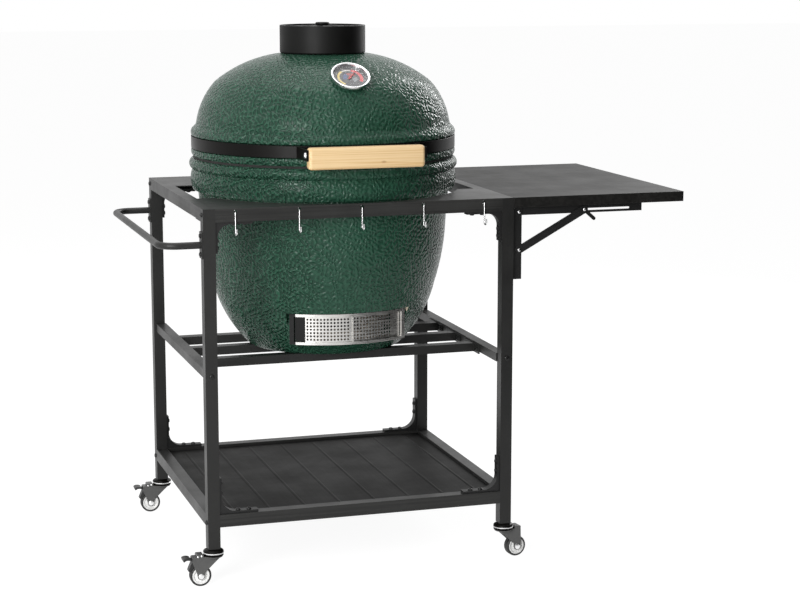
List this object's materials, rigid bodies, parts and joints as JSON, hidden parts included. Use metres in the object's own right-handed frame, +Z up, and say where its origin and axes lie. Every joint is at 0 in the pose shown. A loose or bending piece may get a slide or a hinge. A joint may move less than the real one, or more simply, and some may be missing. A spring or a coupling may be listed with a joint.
{
  "type": "kamado grill table",
  "caption": "Kamado ceramic grill standing in a black wheeled steel table with a shelf, folding side leaf, push handle and wire hooks.",
  "frame": {"origin": "on the floor, under the middle of the whole table's box with the leaf up; the grill's own axis stands 0.1465 m towards the push handle and 0.010 m towards the back from it", "axes": "+X towards the folding leaf, -Y towards the user's side with the handle and the draft door, +Z up"},
  "size_m": [1.121, 0.66, 1.1198],
  "materials": {
    "black_powder_coat": "fine satin powder coat",
    "black_bolt": "satin",
    "shelf_black": "fine satin powder coat",
    "green_glaze": "glossy glaze with a wormy raised pattern",
    "fire_ceramic": "rough fired clay",
    "cast_grate": "rough cast",
    "grate_steel": "drawn wire",
    "felt": "felt",
    "band_steel": "satin",
    "pine": "clear oiled pine",
    "cap_black": "matte",
    "chrome": "polished",
    "stainless": "brushed",
    "rivet": "bright",
    "dial_print": "printed dial with plain marks",
    "dial_glass": "clear",
    "needle_red": "painted",
    "caster_steel": "grey stamped steel",
    "wheel_white": "moulded hub with a black tread",
    "pedal_black": "moulded",
    "hook_wire": "bright wire"
  },
  "bodies": {
    "table": {"posts": "black_powder_coat", "front_top_rail": "black_powder_coat", "back_top_rail": "black_powder_coat", "side_top_rails": "black_powder_coat", "side_mid_rails": "black_powder_coat", "kamado_slats": "black_powder_coat", "long_bottom_rails": "black_powder_coat", "side_bottom_rails": "black_powder_coat", "shelf_panel": "shelf_black", "corner_brackets": "black_powder_coat", "frame_bolts": "black_bolt", "push_handle": "black_powder_coat", "wall_bars": "black_powder_coat", "bracket_rivets": "rivet", "caster_mounts": "caster_steel", "base_shell": "green_glaze", "firebox": "fire_ceramic", "fire_ring": "fire_ceramic", "charcoal_grate": "cast_grate", "cooking_grate": "grate_steel", "base_gasket": "felt", "hinge_base_bracket": "band_steel", "hinge_pin": "stainless", "draft_frame": "stainless"},
    "lid": {"dome_shell": "green_glaze", "dome_gasket": "felt", "dome_band": "band_steel", "hinge_dome_bracket": "band_steel", "handle_brackets": "band_steel", "wooden_handle": "pine", "handle_bolts": "chrome", "vent_collar": "cap_black", "thermometer_case": "chrome", "thermometer_dial": "dial_print", "thermometer_lens": "dial_glass"},
    "vent": {"vent_disc": "cap_black", "vent_knob": "cap_black"},
    "needle": {"thermometer_needle": "needle_red"},
    "screen": {"screen_slide": "stainless"},
    "draft_door": {"door_slide": "stainless"},
    "leaf": {"leaf_panel": "black_powder_coat", "leaf_bars": "black_powder_coat"},
    "struts": {"leaf_struts": "black_powder_coat"},
    "levers": {"release_levers": "black_powder_coat"},
    "hook_1": {"hook_1": "hook_wire"},
    "hook_2": {"hook_2": "hook_wire"},
    "hook_3": {"hook_3": "hook_wire"},
    "hook_4": {"hook_4": "hook_wire"},
    "hook_5": {"hook_5": "hook_wire"},
    "fork_fl": {"fork_fl": "caster_steel"},
    "wheel_fl": {"wheel_fl": "wheel_white"},
    "fork_bl": {"fork_bl": "caster_steel"},
    "wheel_bl": {"wheel_bl": "wheel_white"},
    "fork_fr": {"fork_fr": "caster_steel"},
    "wheel_fr": {"wheel_fr": "wheel_white"},
    "fork_br": {"fork_br": "caster_steel"},
    "wheel_br": {"wheel_br": "wheel_white"},
    "pedal_fl": {"pedal_fl": "pedal_black"},
    "pedal_bl": {"pedal_bl": "pedal_black"}
  },
  "joints": [
    {"name": "lid_hinge", "type": "hinge", "parent": "table", "child": "lid", "pos_m": [-0.1465, 0.32, 0.84], "axis": [-1, 0, 0], "range_deg": [0, 80]},
    {"name": "vent_turn", "type": "hinge", "parent": "lid", "child": "vent", "pos_m": [-0.1465, 0.01, 1.1083], "axis": [0, 0, 1], "range_deg": [0, 22.5]},
    {"name": "needle_turn", "type": "hinge", "parent": "lid", "child": "needle", "pos_m": [-0.1465, -0.2, 1.01], "axis": [0, 0.5835, -0.8121], "range_deg": [-190, 90], "stiffness_Nm_per_rad": 0.001},
    {"name": "screen_slide_turn", "type": "hinge", "parent": "table", "child": "screen", "pos_m": [-0.1465, 0.01, 0.498], "axis": [0, 0, 1], "range_deg": [0, 30]},
    {"name": "draft_door_turn", "type": "hinge", "parent": "table", "child": "draft_door", "pos_m": [-0.1465, 0.01, 0.498], "axis": [0, 0, -1], "range_deg": [0, 30]},
    {"name": "leaf_fold", "type": "hinge", "parent": "table", "child": "leaf", "pos_m": [0.1925, 0.01, 0.737], "axis": [0, 1, 0], "range_deg": [0, 85]},
    {"name": "strut_fold", "type": "hinge", "parent": "table", "child": "struts", "pos_m": [0.1925, 0.01, 0.658], "axis": [0, 1, 0], "range_deg": [0, 111.27]},
    {"name": "lever_release", "type": "hinge", "parent": "struts", "child": "levers", "pos_m": [0.337, 0.01, 0.737], "axis": [0, 1, 0], "range_deg": [0, 25], "stiffness_Nm_per_rad": 0.02, "springref_deg": -17.19},
    {"name": "hook_1_swing", "type": "hinge", "parent": "table", "child": "hook_1", "pos_m": [-0.4065, -0.286, 0.76], "axis": [-1, 0, 0], "range_deg": [0, 30]},
    {"name": "hook_2_swing", "type": "hinge", "parent": "table", "child": "hook_2", "pos_m": [-0.2765, -0.286, 0.76], "axis": [-1, 0, 0], "range_deg": [0, 30]},
    {"name": "hook_3_swing", "type": "hinge", "parent": "table", "child": "hook_3", "pos_m": [-0.1465, -0.286, 0.76], "axis": [-1, 0, 0], "range_deg": [0, 30]},
    {"name": "hook_4_swing", "type": "hinge", "parent": "table", "child": "hook_4", "pos_m": [-0.0165, -0.286, 0.76], "axis": [-1, 0, 0], "range_deg": [0, 30]},
    {"name": "hook_5_swing", "type": "hinge", "parent": "table", "child": "hook_5", "pos_m": [0.1135, -0.286, 0.76], "axis": [-1, 0, 0], "range_deg": [0, 30]},
    {"name": "swivel_fl", "type": "hinge", "parent": "table", "child": "fork_fl", "pos_m": [-0.459, -0.2745, 0.06], "axis": [0, 0, 1], "continuous": true},
    {"name": "roll_fl", "type": "hinge", "parent": "fork_fl", "child": "wheel_fl", "pos_m": [-0.487, -0.2745, 0.022], "axis": [0, 1, 0], "continuous": true},
    {"name": "brake_fl", "type": "hinge", "parent": "fork_fl", "child": "pedal_fl", "pos_m": [-0.5, -0.2745, 0.0548], "axis": [0, 1, 0], "range_deg": [0, 18]},
    {"name": "swivel_bl", "type": "hinge", "parent": "table", "child": "fork_bl", "pos_m": [-0.459, 0.2945, 0.06], "axis": [0, 0, 1], "continuous": true},
    {"name": "roll_bl", "type": "hinge", "parent": "fork_bl", "child": "wheel_bl", "pos_m": [-0.487, 0.2945, 0.022], "axis": [0, 1, 0], "continuous": true},
    {"name": "brake_bl", "type": "hinge", "parent": "fork_bl", "child": "pedal_bl", "pos_m": [-0.5, 0.2945, 0.0548], "axis": [0, 1, 0], "range_deg": [0, 18]},
    {"name": "swivel_fr", "type": "hinge", "parent": "table", "child": "fork_fr", "pos_m": [0.166, -0.2745, 0.06], "axis": [0, 0, 1], "continuous": true},
    {"name": "roll_fr", "type": "hinge", "parent": "fork_fr", "child": "wheel_fr", "pos_m": [0.19373, -0.2706, 0.022], "axis": [-0.1392, 0.9903, 0], "continuous": true},
    {"name": "swivel_br", "type": "hinge", "parent": "table", "child": "fork_br", "pos_m": [0.166, 0.2945, 0.06], "axis": [0, 0, 1], "continuous": true},
    {"name": "roll_br", "type": "hinge", "parent": "fork_br", "child": "wheel_br", "pos_m": [0.19373, 0.2984, 0.022], "axis": [-0.1392, 0.9903, 0], "continuous": true}
  ],
  "couplings": [
    {"joint": "strut_fold", "follows": "leaf_fold", "ratio": 1.309}
  ]
}
